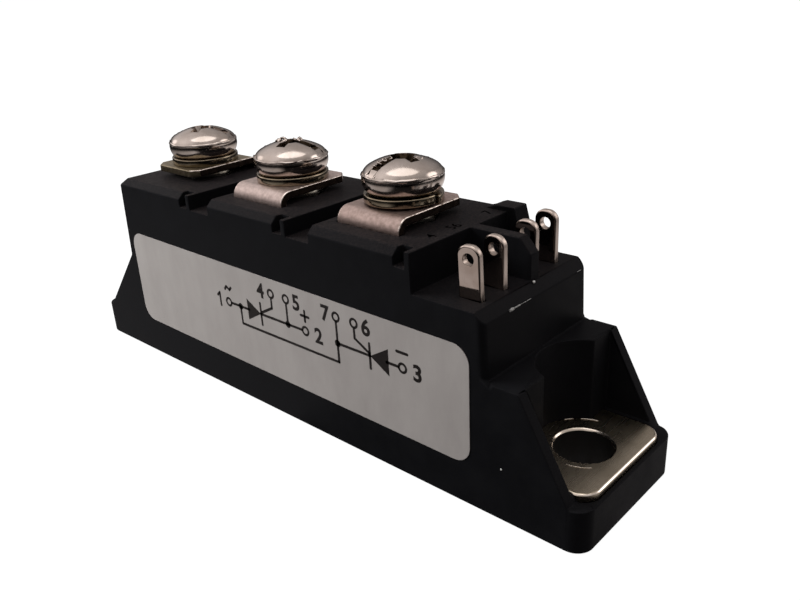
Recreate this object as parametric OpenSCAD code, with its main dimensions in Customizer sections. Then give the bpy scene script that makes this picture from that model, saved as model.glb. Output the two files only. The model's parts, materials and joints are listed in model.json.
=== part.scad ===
// Thyristor module: moulded body on a copper base plate, three screw terminals, four push-on tabs.
// Millimetres, +Z up. Origin: middle of the underside of the base plate. +X points to the push-on tabs,
// the label is on the -Y side.

/* [Footprint] */
// Overall length over both feet
foot_l = 92; // [91:0.5:98]
// Overall width
foot_w = 20; // [19.5:0.5:24]
// Corner radius of the feet, seen from above
foot_r = 2.1; // [1:0.1:3]
// Height of the plastic rim at the ends
rim_h = 5.2; // [4.4:0.1:5.7]
// Height of the rim's lower edge above the heat sink
rim_lift = 0.1; // [0:0.05:0.3]
// Thickness of the rim at the ends
rim_end_t = 0.45; // [0.4:0.05:1.2]
// Thickness of the rim along the sides
rim_side_t = 1.75; // [1.2:0.05:1.9]

/* [Base plate] */
// Thickness of the base plate
plate_t = 6; // [5.7:0.1:7]
// Corner radius of the base plate
plate_r = 2.3; // [1:0.1:2.6]
// Chamfer on the plate's upper edge
plate_chamfer = 0.2; // [0.1:0.05:0.6]
// Distance of the mounting holes from the ends of the feet
hole_end = 6; // [5.5:0.1:7]
// Diameter of the mounting holes
hole_d = 6.5; // [5.3:0.1:7]
// Width of the broken edge at the top of each mounting hole
hole_chamfer = 0.25; // [0.2:0.05:0.7]

/* [Body] */
// Length of the body above the feet, at its top
body_l = 66.9; // [66:0.1:68]
// Draft of each end wall over its height
body_draft = 0.6; // [0:0.1:0.8]
// Height of the screw seats above the heat sink
seat_z = 28.25; // [27.5:0.05:29.5]
// Width of the sloped edge along the seats
seat_bevel = 0.9; // [0.4:0.1:1.2]
// Thickness of the long side walls
side_wall = 1.7; // [1.3:0.1:2.2]
// Thickness of the end walls
end_wall = 1.7; // [1.2:0.1:2.0]
// Height of the inner space above the base plate
cavity_h = 15; // [14:0.5:15.5]

/* [Screw seats] */
// Position of the middle screw along the body
mid_x = -5; // [-5.5:0.1:-4.5]
// Distance between neighbouring screws
screw_pitch = 20; // [19.8:0.1:20.2]
// Bevelled edge to the left of each screw
seat_left = 6.4; // [5.8:0.1:6.4]
// Bevelled edge to the right of each screw
seat_right = 7.1; // [6.5:0.1:7.3]
// Width of the notch beside each bevelled edge
notch_w = 1.6; // [1.2:0.1:1.7]
// Depth of the notch behind the front face
notch_y = 1.7; // [1:0.1:2.2]
// Depth of the notch below the seats
notch_z = 1.95; // [1.2:0.05:2.4]
// Width of the narrow wall beside each slot
pillar_w = 0.8; // [0.6:0.1:1]
// Depth of the slots between the seats
slot_z = 2.05; // [1:0.05:3]

/* [Tab shelf] */
// Extra length of the body at the tab end
tab_end_l = 0.4; // [0:0.05:0.8]
// Lean of the wall at the tab end
tab_end_draft = 0.25; // [0:0.05:0.6]
// Depth of the tab shelf below the seats
shelf_drop = 4.65; // [3.8:0.05:5]
// Sloped edge at the end of the shelf
shelf_bevel = 1.1; // [0.4:0.1:1.4]
// Length of the divider rib
rib_l = 8.1; // [7:0.1:8.4]
// Length of the rib's sloped end
rib_slope_l = 1.5; // [1:0.1:3]
// Fall of the rib's sloped end
rib_slope_h = 1.7; // [0.5:0.05:2]
// Thickness of the rib
rib_t = 1.65; // [1.2:0.05:1.9]
// Clear space between the rib and the tab beside it
rib_gap = 0.525; // [0.4:0.025:0.9]
// Height of the corner post above the seats
post_h = 0.55; // [0.4:0.05:1.4]
// Thickness of the corner post
post_t = 2.6; // [2:0.1:2.6]
// Length of the corner post at its top
post_l = 2.65; // [1.6:0.05:2.8]
// Reach of the corner post over the seat at its top
post_in = 1.6; // [1.2:0.1:2]
// Spread of the corner post's sloped sides
post_flare = 1.6; // [1:0.1:2]

/* [Feet] */
// Height of the ledge at the tab end
ledge_z = 16.2; // [15:0.1:17]
// Length of the ledge at the tab end
ledge_l = 4.25; // [3.6:0.05:5]
// Run of the sloped foot wall at the tab end
slope_run = 6; // [4.5:0.1:6.4]
// Height where the slope at the other end starts
slope_z = 16.1; // [14:0.1:17]
// Run of the sloped foot wall at the other end
far_slope_run = 9.9; // [8:0.1:10.2]
// Thickness of the gussets beside the screw pockets
gusset_t = 1.45; // [1.2:0.05:1.8]
// Diameter of the round screw recess in the body
recess_d = 10.9; // [9.5:0.1:11.2]
// Distance of the recess mouth from the hole's axis
recess_mouth = 2; // [1:0.1:3]

/* [Terminals] */
// Width of the terminal strips
strip_w = 9.8; // [9:0.1:10.4]
// Thickness of the terminal strips
strip_t = 1; // [0.8:0.05:1.2]
// Gap between seat and strip
strip_gap = 0.75; // [0.4:0.05:1.2]
// Outer bend radius of the strips
strip_bend = 1.8; // [1.3:0.05:1.9]
// Distance of the upright part's outer face from the middle
strip_y = 6.5; // [6.4:0.05:7.1]
// Distance of the free end from the middle
strip_end = 5.6; // [5.4:0.1:6.4]
// Clipped corners of the free end
strip_clip = 1.2; // [0.4:0.1:2]
// Hole for the screw
strip_hole_d = 5.5; // [5.3:0.1:5.9]
// Length of the foot inside the body
strip_foot = 5; // [4:0.1:5.4]

/* [Tabs] */
// Width of the push-on tabs
tab_w = 2.8; // [2.4:0.1:3]
// Thickness of the push-on tabs
tab_t = 0.8; // [0.5:0.1:0.9]
// Height of the tabs above the shelf
tab_h = 5.75; // [5:0.05:7]
// Corner radius of the tabs
tab_r = 1.2; // [0.4:0.1:1.3]
// Hole in each tab
tab_hole_d = 1.35; // [1:0.05:1.5]
// Distance of the hole below the tab's top
tab_hole_drop = 1.5; // [1.3:0.1:2.4]
// Distance of the tabs from the step
tab_x = 5.85; // [5.4:0.05:6]
// Distance of the outer tabs from the long sides
tab_edge = 3.1; // [3:0.05:3.4]
// Distance between the two tabs of a pair
tab_gap = 4; // [3.7:0.05:4.1]
// Length of the tabs below the roof
tab_root = 1.4; // [1:0.1:1.6]
// Thickness of the lead wires
lead_d = 0.9; // [0.6:0.1:1]

/* [Fasteners] */
// Diameter of the screws
screw_d = 4.9; // [4.7:0.05:4.95]
// Length of the screws
screw_l = 12; // [10:0.5:12]
// Diameter of the screw heads
head_d = 9.85; // [9:0.05:10.4]
// Height of the screw heads
head_h = 4.05; // [3.6:0.05:4.6]
// Height of the widest place on the screw heads
shoulder_z = 1.5; // [1.2:0.05:1.8]
// Radius of the round shoulder on the screw heads
shoulder_r = 1.7; // [1.2:0.05:1.9]
// Radius of the screw heads' side below the widest place
side_r = 2.3; // [2:0.1:3]
// Width of the slot in the screw heads
drive_w = 1.25; // [0.8:0.05:1.5]
// Depth of the slot in the screw heads
drive_z = 1.7; // [1:0.1:2]
// Length of the cross in the screw heads
cross_l = 5; // [4:0.1:5.6]
// Outer diameter of the spring washers
ring_d = 9.6; // [9:0.1:10]
// Inner diameter of the spring washers
ring_bore = 5.3; // [5.1:0.1:5.8]
// Thickness of the spring washers
ring_t = 1; // [0.8:0.05:1.3]
// Lift of the third screw, whose spring washer is not pressed flat
loose_lift = 0.35; // [0.2:0.05:0.8]
// Width across the flats of the nuts
nut_af = 8; // [7.8:0.1:8.2]
// Thickness of the nuts
nut_h = 4; // [3.2:0.1:4.4]

/* [Inside] */
// Thickness of the ceramic tiles
tile_t = 1; // [0.6:0.1:1.2]
// Thickness of the copper pads
pad_t = 0.8; // [0.5:0.1:1]
// Width of the copper pads
pad_w = 13.6; // [13:0.1:14]
// Distance of the gap between the pads from the third screw
pad_gap_x = 10.3; // [10.1:0.1:10.4]
// Width of the gap between the pads
pad_gap = 1.6; // [1.4:0.1:1.8]
// Margin of the ceramic tiles around the pads
tile_margin = 0.4; // [0.2:0.1:0.5]
// Side of the chips
chip_w = 9.4; // [8.6:0.1:9.6]
// Thickness of the chips
chip_t = 0.5; // [0.4:0.1:0.8]
// Thickness of the cathode discs
disc_t = 1; // [0.8:0.1:1.2]
// Distance of the second chip from the third screw
chip_gap_x = 10.6; // [10.5:0.1:10.8]
// Distance of the flat on the cathode discs from their middle
disc_flat = 2.6; // [2.4:0.1:2.8]
// Distance of the gate contacts from the middle
gate_y = 3.8; // [3.7:0.1:4]
// Thickness of the bridge strap
strap_t = 0.8; // [0.5:0.1:1]
// Width of the bridge strap
strap_w = 4; // [3:0.1:4.2]
// Position of the bridge strap across the body
strap_y = 3.2; // [3:0.1:3.4]
// Rise of the bridge strap's run above its foot
strap_rise = 0.6; // [0.4:0.1:0.8]
// Length of the bridge strap's feet
strap_foot = 2.8; // [2.4:0.1:3]
// Distance of the strap's bends from the gap and from the chip's middle
strap_bend_x = 2; // [1.8:0.1:2.2]
// Height of the lowest lead above the cathode discs
lead_rise = 2.8; // [2.6:0.1:3]
// Distance between neighbouring leads
lead_pitch = 1.6; // [1.5:0.05:1.7]
// Depth of the soft fill above the base plate
gel_h = 8; // [7:0.1:9.5]

/* [Label] */
// Length of the label
label_l = 64.6; // [56:0.1:65]
// Height of the label
label_h = 14.25; // [12:0.05:15]
// Position of the label's middle along the body
label_x = -0.2; // [-0.4:0.1:0.4]
// Height of the label's middle above the heat sink
label_z = 12.75; // [12.2:0.05:13.5]
// Corner radius of the label
label_r = 2.2; // [1:0.1:3]
// Thickness of the label
label_t = 0.1; // [0.05:0.01:0.2]
// Tilt of the label in degrees
label_tilt = 0.5; // [-0.6:0.1:0.6]

/* [Hidden] */
$fn = 64;
fit = 0.05;
over = 1;

half_l = foot_l / 2;
half_w = foot_w / 2;
body_x = body_l / 2;
tab_end_x = body_x + tab_end_l;
screw_x = [mid_x - screw_pitch, mid_x, mid_x + screw_pitch];
hole_x = half_l - hole_end;

// Screw seats
notch_x = seat_right;
pillar_x = seat_right + notch_w;
slot_x = pillar_x + pillar_w;
step_x = screw_x[2] + slot_x;
shelf_z = seat_z - shelf_drop;
roof_z = plate_t + cavity_h;
cavity_x = body_x - end_wall;
cavity_y = half_w - side_wall;

// Base plate and pocket
plate_l = foot_l - 2 * rim_end_t - 2 * fit;
plate_w = foot_w - 2 * rim_side_t - 2 * fit;

// Terminals
strip_low = seat_z + strip_gap;
strip_top = strip_low + strip_t;
bend_in = strip_bend - strip_t;

// Inner stack
pad_z = plate_t + tile_t;
chip_z = pad_z + pad_t;
disc_z = chip_z + chip_t;
disc_top = disc_z + disc_t;
pad_split = screw_x[2] - pad_gap_x;
pad_end = cavity_x - tile_margin - 0.5;
chip_1_x = screw_x[1];
chip_2_x = screw_x[2] + chip_gap_x;
foot_in = strip_y - strip_bend - strip_foot;
strap_run_z = disc_top + strap_t + strap_rise;

// Tabs
tab_mid_x = step_x + tab_x;
tab_out_y = half_w - tab_edge;
tab_in_y = tab_out_y - tab_gap;
rib_y = tab_in_y - tab_t / 2 - rib_gap - rib_t / 2;
tab_low = roof_z - tab_root;

// Screw parts
nut_z = strip_low - nut_h;
shoulder_x = head_d / 2 - shoulder_r;
dome_h = head_h - shoulder_z;
dome_r = (shoulder_x * shoulder_x + dome_h * dome_h - shoulder_r * shoulder_r) / (2 * (dome_h - shoulder_r));
dome_a = atan2(dome_r - dome_h, shoulder_x);
side_a = asin((shoulder_z - 0.12) / side_r);
boss_low = strip_top + ring_t - screw_l - 0.5;

module rounded(l, w, r) {
    square([l - 2 * r, w], center = true);
    square([l, w - 2 * r], center = true);
    for (x = [-1, 1], y = [-1, 1]) translate([x * (l / 2 - r), y * (w / 2 - r)]) circle(r);
}

// A side view in X and Z, given its thickness from y0 to y1
module slab(y0, y1) {
    translate([0, y1, 0]) rotate([90, 0, 0]) linear_extrude(y1 - y0) children();
}

// A cross section in Y and Z, given its extent from x0 to x1
module bar(x0, x1) {
    translate([x0, 0, 0]) rotate([90, 0, 90]) linear_extrude(x1 - x0) children();
}

module block(a, b) {
    translate(a) cube(b - a);
}

// Side view of the whole moulding
module side_view() {
    lean = body_x + body_draft;
    polygon([[-half_l, rim_lift], [-half_l, rim_h], [-lean - far_slope_run, rim_h], [-lean, slope_z],
        [-body_x, seat_z - seat_bevel], [-body_x + seat_bevel, seat_z], [step_x, seat_z],
        [step_x, shelf_z], [tab_end_x - shelf_bevel, shelf_z], [tab_end_x, shelf_z - shelf_bevel],
        [tab_end_x + tab_end_draft, ledge_z], [tab_end_x + ledge_l, ledge_z],
        [tab_end_x + ledge_l + slope_run, rim_h],
        [half_l, rim_h], [half_l, rim_lift]]);
}

// Sloped edges of the screw seats along both long sides
module seat_edges() {
    for (i = [0, 1, 2]) {
        from = i == 0 ? -body_x - over : screw_x[i] - seat_left;
        for (side = [-1, 1]) bar(from, screw_x[i] + seat_right)
            polygon([[side * (half_w - seat_bevel - over), seat_z + over], [side * (half_w + over), seat_z + over],
                [side * (half_w + over), seat_z - seat_bevel - over]]);
    }
}

module notches() {
    for (x = screw_x) block([x + notch_x, -half_w - over, seat_z - notch_z],
        [x + pillar_x, -half_w + notch_y, seat_z + over]);
}

module slots() {
    for (i = [0, 1]) block([screw_x[i] + slot_x, -half_w - over, seat_z - slot_z],
        [screw_x[i + 1] - seat_left, half_w + over, seat_z + over]);
}

// Open pocket above the mounting hole, with the round recess in the body
module foot_pocket(dir) {
    mirror([dir < 0 ? 1 : 0, 0, 0]) {
        block([hole_x - recess_mouth, -half_w + gusset_t, plate_t], [half_l + over, half_w - gusset_t, seat_z]);
        intersection() {
            translate([hole_x, 0, plate_t]) cylinder(d = recess_d, h = seat_z - plate_t);
            block([body_x, -half_w, plate_t], [half_l, half_w, seat_z]);
        }
    }
}

module cavity(low, high) {
    block([-cavity_x, -cavity_y, low], [cavity_x, cavity_y, high]);
}

module plate_shape(grow, low, high) {
    translate([0, 0, low]) linear_extrude(high - low)
        rounded(plate_l + 2 * grow, plate_w + 2 * grow, plate_r + grow);
}

// Blind bosses that hold the screw ends clear of the inner space
module bosses() {
    for (x = screw_x) translate([x, 0, boss_low - 1]) cylinder(d = screw_d + 3.4, h = roof_z - boss_low + 1.5);
}

module nut_shape(grow, h) {
    cylinder(d = (nut_af + 2 * grow) / cos(30), h = h, $fn = 6);
}

module strip_slot(i, side) {
    x = screw_x[i];
    y0 = side * (strip_y + fit);
    y1 = side * (strip_y - strip_t - fit);
    block([x - strip_w / 2 - fit, min(y0, y1), roof_z - over], [x + strip_w / 2 + fit, max(y0, y1), seat_z + over]);
}

module tab_slot(y) {
    block([tab_mid_x - tab_w / 2 - fit, y - tab_t / 2 - fit, roof_z - over],
        [tab_mid_x + tab_w / 2 + fit, y + tab_t / 2 + fit, shelf_z + over]);
}

module rib() {
    slab(rib_y - rib_t / 2, rib_y + rib_t / 2)
        polygon([[step_x - 0.5, shelf_z - 0.5], [step_x - 0.5, seat_z], [step_x + rib_l - rib_slope_l, seat_z],
            [step_x + rib_l, seat_z - rib_slope_h], [step_x + rib_l, shelf_z - 0.5]]);
}

module post() {
    top = seat_z + post_h;
    slab(half_w - post_t, half_w)
        polygon([[step_x - post_in - post_flare, seat_z - 0.5], [step_x - post_in - post_flare, seat_z],
            [step_x - post_in, top], [step_x - post_in + post_l, top],
            [step_x - post_in + post_l + post_flare, shelf_z - 0.5], [step_x - 0.5, shelf_z - 0.5]]);
}

module housing() {
    color("#1b1b1d") difference() {
        union() {
            intersection() {
                slab(-half_w, half_w) side_view();
                translate([0, 0, -over]) linear_extrude(seat_z + 2 * over) rounded(foot_l, foot_w, foot_r);
            }
            rib();
            post();
        }
        seat_edges();
        notches();
        slots();
        for (dir = [-1, 1]) foot_pocket(dir);
        plate_shape(fit, -over, plate_t);
        difference() {
            cavity(plate_t - 0.5, roof_z);
            bosses();
        }
        for (x = screw_x) {
            translate([x, 0, nut_z]) nut_shape(fit, seat_z - nut_z + over);
            translate([x, 0, boss_low]) cylinder(d = screw_d + 0.7, h = nut_z - boss_low + over);
        }
        strip_slot(0, 1);
        strip_slot(1, -1);
        strip_slot(2, -1);
        for (y = [-tab_out_y, -tab_in_y, tab_in_y, tab_out_y]) tab_slot(y);
    }
}

// Upper edge of the base plate, seen along one of its sides
module chamfered(w) {
    polygon([[-w / 2, plate_t - 2 * plate_chamfer], [w / 2, plate_t - 2 * plate_chamfer],
        [w / 2, plate_t - plate_chamfer], [w / 2 - plate_chamfer, plate_t],
        [-w / 2 + plate_chamfer, plate_t], [-w / 2, plate_t - plate_chamfer]]);
}

module base_plate() {
    color("#c9c6bd") difference() {
        union() {
            plate_shape(0, 0, plate_t - plate_chamfer);
            slab(plate_r - plate_w / 2, plate_w / 2 - plate_r) chamfered(plate_l);
            bar(plate_r - plate_l / 2, plate_l / 2 - plate_r) chamfered(plate_w);
            for (x = [-1, 1], y = [-1, 1])
                translate([x * (plate_l / 2 - plate_r), y * (plate_w / 2 - plate_r), plate_t - plate_chamfer])
                    cylinder(r1 = plate_r, r2 = plate_r - plate_chamfer, h = plate_chamfer);
        }
        for (x = [-hole_x, hole_x]) translate([x, 0, 0]) {
            translate([0, 0, -over]) cylinder(d = hole_d, h = plate_t + 2 * over);
            translate([0, 0, plate_t - hole_chamfer])
                cylinder(d1 = hole_d, d2 = hole_d + 4 * hole_chamfer, h = 2 * hole_chamfer);
        }
    }
}

module tile(x0, x1) {
    color("#ece7dc") block([x0, -pad_w / 2 - tile_margin, plate_t], [x1, pad_w / 2 + tile_margin, pad_z]);
}

module ceramic_tile_1() {
    tile(-pad_end - tile_margin, pad_split - pad_gap / 4);
}

module ceramic_tile_2() {
    tile(pad_split + pad_gap / 4, pad_end + tile_margin);
}

module pad(x0, x1) {
    color("#b87346") block([x0, -pad_w / 2, pad_z], [x1, pad_w / 2, chip_z]);
}

module pad_common() {
    pad(-pad_end, pad_split - pad_gap / 2);
}

module pad_minus() {
    pad(pad_split + pad_gap / 2, pad_end);
}

module chip(x) {
    color("#5a5f66") block([x - chip_w / 2, -chip_w / 2, chip_z], [x + chip_w / 2, chip_w / 2, disc_z]);
}

module thyristor_chip_1() {
    chip(chip_1_x);
}

module thyristor_chip_2() {
    chip(chip_2_x);
}

// Cathode contact: a round plate with a flat where the gate contact is
module disc(x, side) {
    color("#9a9a9c") difference() {
        translate([x, 0, disc_z]) cylinder(d = chip_w - 1, h = disc_t);
        block([x - chip_w, min(side * disc_flat, side * chip_w), disc_z - over],
            [x + chip_w, max(side * disc_flat, side * chip_w), disc_top + over]);
    }
}

module cathode_disc_1() {
    disc(chip_1_x, 1);
}

module cathode_disc_2() {
    disc(chip_2_x, -1);
}

// Side view of the strap: foot on the common pad, raised run, foot on the second cathode disc
module bridge_strap() {
    up = pad_split - strap_bend_x;
    down = chip_2_x - strap_bend_x;
    x0 = up - strap_foot;
    x1 = down + strap_foot + strap_t;
    color("#b87346") slab(strap_y - strap_w / 2, strap_y + strap_w / 2)
        polygon([[x0, chip_z], [up, chip_z], [up, strap_run_z - strap_t], [down, strap_run_z - strap_t],
            [down, disc_top], [x1, disc_top], [x1, disc_top + strap_t], [down + strap_t, disc_top + strap_t],
            [down + strap_t, strap_run_z], [up - strap_t, strap_run_z], [up - strap_t, chip_z + strap_t],
            [x0, chip_z + strap_t]]);
}

// Quarter of a bend, centred on the origin, in the quadrant given by the two signs
module quarter(a, b) {
    intersection() {
        difference() {
            circle(strip_bend);
            circle(bend_in);
        }
        translate([a > 0 ? 0 : -strip_bend, b > 0 ? 0 : -strip_bend]) square(strip_bend);
    }
}

// Cross section of a strip bent down at +Y, with its foot turned inwards at the height low
module strip_section(low) {
    y_in = strip_y - strip_bend;
    translate([-strip_end, strip_low]) square([strip_end + y_in, strip_t]);
    translate([y_in, strip_top - strip_bend]) quarter(1, 1);
    translate([strip_y - strip_t, low + strip_bend]) square([strip_t, strip_top - low - 2 * strip_bend]);
    translate([y_in, low + strip_bend]) quarter(1, -1);
    translate([foot_in, low]) square([strip_foot, strip_t]);
}

module terminal(i, low, side) {
    color("#c8c4ba") translate([screw_x[i], 0, 0]) mirror([0, side < 0 ? 1 : 0, 0]) difference() {
        bar(-strip_w / 2, strip_w / 2) strip_section(low);
        translate([0, 0, strip_low - over]) cylinder(d = strip_hole_d, h = strip_t + 2 * over);
        for (s = [-1, 1]) translate([s * strip_w / 2, -strip_end, strip_low - over]) rotate(45)
            cube([strip_clip * sqrt(2), strip_clip * sqrt(2), 2 * strip_t + 4 * over], center = true);
    }
}

module terminal_1() {
    terminal(0, chip_z, 1);
}

module terminal_2() {
    terminal(1, disc_top, -1);
}

module terminal_3() {
    terminal(2, chip_z, -1);
}

module tab(y) {
    top = shelf_z + tab_h;
    color("#d2cfc6") difference() {
        slab(y - tab_t / 2, y + tab_t / 2) {
            translate([tab_mid_x - tab_w / 2, tab_low]) square([tab_w, top - tab_r - tab_low]);
            translate([tab_mid_x - tab_w / 2 + tab_r, top - tab_r - over]) square([tab_w - 2 * tab_r, tab_r + over]);
            for (s = [-1, 1]) translate([tab_mid_x + s * (tab_w / 2 - tab_r), top - tab_r]) circle(tab_r);
        }
        translate([tab_mid_x, y + over, top - tab_hole_drop]) rotate([90, 0, 0])
            cylinder(d = tab_hole_d, h = 2 * over, $fn = 32);
    }
}

module tab_4() {
    tab(-tab_out_y);
}

module tab_5() {
    tab(-tab_in_y);
}

module tab_6() {
    tab(tab_in_y);
}

module tab_7() {
    tab(tab_out_y);
}

// Straight piece of wire between two points that differ in one direction
module wire(a, b) {
    d = b - a;
    len = norm(d);
    translate(a) sphere(d = lead_d, $fn = 32);
    translate(b) sphere(d = lead_d, $fn = 32);
    translate(a) rotate([0, acos(d[2] / len), atan2(d[1], d[0])]) cylinder(d = lead_d, h = len, $fn = 32);
}

// Lead from a tab: down, along to its crossing, across to its run, along to its contact and down to a flat end
module lead(tab_y, cross_x, run_y, run_z, end_x, end_z) {
    color("#b9332b") difference() {
        union() {
            wire([tab_mid_x, tab_y, tab_low], [tab_mid_x, tab_y, run_z]);
            wire([tab_mid_x, tab_y, run_z], [cross_x, tab_y, run_z]);
            wire([cross_x, tab_y, run_z], [cross_x, run_y, run_z]);
            wire([cross_x, run_y, run_z], [end_x, run_y, run_z]);
            wire([end_x, run_y, run_z], [end_x, run_y, end_z]);
        }
        block([end_x - over, run_y - over, end_z - over], [end_x + over, run_y + over, end_z]);
        block([tab_mid_x - tab_w, tab_y - over, tab_low], [tab_mid_x + tab_w, tab_y + over, tab_low + over]);
    }
}

module lead_4() {
    lead(-tab_out_y, tab_mid_x - 2 * lead_pitch, gate_y, disc_top + lead_rise + 2 * lead_pitch,
        chip_1_x - lead_pitch, disc_z);
}

module lead_5() {
    lead(-tab_in_y, tab_mid_x - lead_pitch, lead_pitch, disc_top + lead_rise + lead_pitch,
        chip_1_x + lead_pitch, disc_top);
}

module lead_6() {
    lead(tab_in_y, tab_mid_x - lead_pitch / 4, -lead_pitch / 2, disc_top + lead_rise,
        chip_2_x + lead_pitch / 2, disc_top);
}

module lead_7() {
    lead(tab_out_y, chip_2_x - lead_pitch / 2, -gate_y, disc_top + lead_rise + 3 * lead_pitch,
        chip_2_x - lead_pitch, disc_z);
}

module captive_nuts() {
    color("#bdbab2") for (x = screw_x) translate([x, 0, nut_z]) difference() {
        intersection() {
            nut_shape(0, nut_h);
            union() {
                cylinder(d = nut_af * 1.1, h = nut_h - 0.4);
                cylinder(d = nut_af - 0.2, h = nut_h);
                translate([0, 0, 0.4]) cylinder(d = nut_af / cos(30) + 1, h = nut_h - 0.8);
            }
        }
        translate([0, 0, -over]) cylinder(d = screw_d + 2 * fit, h = nut_h + 2 * over);
    }
}

// Split ring pressed flat
module flat_ring(turn) {
    rotate(turn) difference() {
        cylinder(d = ring_d, h = ring_t);
        translate([0, 0, -over]) cylinder(d = ring_bore, h = ring_t + 2 * over);
        translate([ring_d / 2, 0, 0]) rotate([20, 0, 0]) cube([ring_d, 0.35, 4 * ring_t], center = true);
    }
}

// Split ring that still rises by lift over its one turn
module risen_ring(turn, lift) {
    n = 48;
    span = 352;
    r0 = ring_bore / 2;
    r1 = ring_d / 2;
    points = [for (i = [0 : n]) let (a = turn + 4 + span * i / n, z = lift * i / n)
        each [[r0 * cos(a), r0 * sin(a), z], [r1 * cos(a), r1 * sin(a), z],
            [r1 * cos(a), r1 * sin(a), z + ring_t], [r0 * cos(a), r0 * sin(a), z + ring_t]]];
    sides = [for (i = [0 : n - 1], k = [0 : 3]) let (p = 4 * i, q = 4 * i + 4, m = (k + 1) % 4)
        each [[p + k, p + m, q + m], [p + k, q + m, q + k]]];
    ends = [[0, 3, 2, 1], [4 * n, 4 * n + 1, 4 * n + 2, 4 * n + 3]];
    polyhedron(points, concat(sides, ends), convexity = 4);
}

module spring_washers() {
    color("#b4b1a8") {
        translate([screw_x[0], 0, strip_top]) flat_ring(200);
        translate([screw_x[1], 0, strip_top]) flat_ring(130);
        translate([screw_x[2], 0, strip_top]) risen_ring(6, loose_lift - fit);
    }
}

// Half outline of the head: a side that narrows towards the washer, a round shoulder and a low dome
module head_outline() {
    r = head_d / 2;
    polygon(concat([[0, 0], [r - 0.75, 0]],
        [for (i = [0 : 3]) let (a = -side_a * (4 - i) / 4)
            [r - side_r * (1 - cos(a)), shoulder_z + side_r * sin(a)]],
        [for (i = [0 : 6]) let (a = dome_a * i / 6)
            [shoulder_x + shoulder_r * cos(a), shoulder_z + shoulder_r * sin(a)]],
        [for (i = [1 : 8]) let (a = dome_a + (90 - dome_a) * i / 8)
            [dome_r * cos(a), head_h - dome_r * (1 - sin(a))]]));
}

module screw_body() {
    rotate_extrude() head_outline();
    translate([0, 0, -screw_l + 0.7]) cylinder(d = screw_d, h = screw_l);
    translate([0, 0, -screw_l]) cylinder(d1 = screw_d - 1, d2 = screw_d, h = 0.7);
}

module drive() {
    translate([-head_d, -drive_w / 2, head_h - drive_z]) cube([2 * head_d, drive_w, drive_z + over]);
    translate([-drive_w / 2, -cross_l / 2, head_h - drive_z - 0.3]) cube([drive_w, cross_l, drive_z + over]);
    translate([0, 0, head_h - drive_z - 1]) cylinder(d1 = 1.2, d2 = 3, h = drive_z + over, $fn = 32);
}

module screw(x, lift, turn) {
    translate([x, 0, strip_top + ring_t + lift]) rotate(turn) difference() {
        screw_body();
        drive();
    }
}

module terminal_screws() {
    color("#cfccc4") {
        screw(screw_x[0], 0, 32);
        screw(screw_x[1], 0, 20);
        screw(screw_x[2], loose_lift, 80);
    }
}

// Soft fill: the lower part of the inner space, less everything that stands in it
module gel_fill() {
    color("#d9dcd2") difference() {
        cavity(plate_t, plate_t + gel_h);
        ceramic_tile_1();
        ceramic_tile_2();
        pad_common();
        pad_minus();
        thyristor_chip_1();
        thyristor_chip_2();
        cathode_disc_1();
        cathode_disc_2();
        bridge_strap();
        terminal_1();
        terminal_2();
        terminal_3();
        lead_4();
        lead_5();
        lead_6();
        lead_7();
    }
}

module label() {
    color("#8d8f90") translate([label_x, -half_w, label_z]) rotate([90, label_tilt, 0])
        linear_extrude(label_t) rounded(label_l, label_h, label_r);
}

housing();
base_plate();
ceramic_tile_1();
ceramic_tile_2();
pad_common();
pad_minus();
thyristor_chip_1();
thyristor_chip_2();
cathode_disc_1();
cathode_disc_2();
bridge_strap();
terminal_1();
terminal_2();
terminal_3();
tab_4();
tab_5();
tab_6();
tab_7();
lead_4();
lead_5();
lead_6();
lead_7();
captive_nuts();
spring_washers();
terminal_screws();
gel_fill();
label();
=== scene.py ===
"""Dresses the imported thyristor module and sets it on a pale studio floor.

The CAD nodes are the frame. Pieces whose edges show are copied from their node, merged, and given the small
rounded edges of the real ones. The label's drawing and the marks on the housing are modelled here.
"""

from __future__ import annotations

import json
import logging
import math
from collections.abc import Callable
from dataclasses import dataclass, field
from enum import Enum
from typing import Any

import bpy
from mathutils import Matrix, Vector

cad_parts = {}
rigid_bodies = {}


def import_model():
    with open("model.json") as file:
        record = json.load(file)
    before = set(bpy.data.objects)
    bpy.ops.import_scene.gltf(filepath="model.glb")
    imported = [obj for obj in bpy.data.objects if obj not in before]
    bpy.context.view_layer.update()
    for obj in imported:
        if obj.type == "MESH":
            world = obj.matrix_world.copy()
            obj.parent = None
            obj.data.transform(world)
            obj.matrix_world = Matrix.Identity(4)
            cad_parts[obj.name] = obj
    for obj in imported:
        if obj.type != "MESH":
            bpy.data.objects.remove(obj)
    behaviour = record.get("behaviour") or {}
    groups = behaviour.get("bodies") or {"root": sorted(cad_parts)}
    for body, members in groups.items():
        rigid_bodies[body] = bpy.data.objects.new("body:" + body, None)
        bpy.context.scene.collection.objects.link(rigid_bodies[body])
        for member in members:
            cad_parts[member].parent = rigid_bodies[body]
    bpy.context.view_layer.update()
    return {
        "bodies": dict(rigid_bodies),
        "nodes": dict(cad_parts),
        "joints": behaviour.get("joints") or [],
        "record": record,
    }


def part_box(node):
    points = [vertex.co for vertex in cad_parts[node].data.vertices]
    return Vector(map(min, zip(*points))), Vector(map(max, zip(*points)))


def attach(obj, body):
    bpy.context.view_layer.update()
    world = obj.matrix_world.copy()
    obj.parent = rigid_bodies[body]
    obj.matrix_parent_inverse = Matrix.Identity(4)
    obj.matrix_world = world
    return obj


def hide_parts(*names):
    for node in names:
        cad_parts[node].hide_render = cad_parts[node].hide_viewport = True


LOG = logging.getLogger("thyristor_module")
MM = 0.001
ROOT = "root"

Point2 = tuple[float, float]
Point3 = tuple[float, float, float]
Colour = tuple[float, float, float, float]


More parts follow.
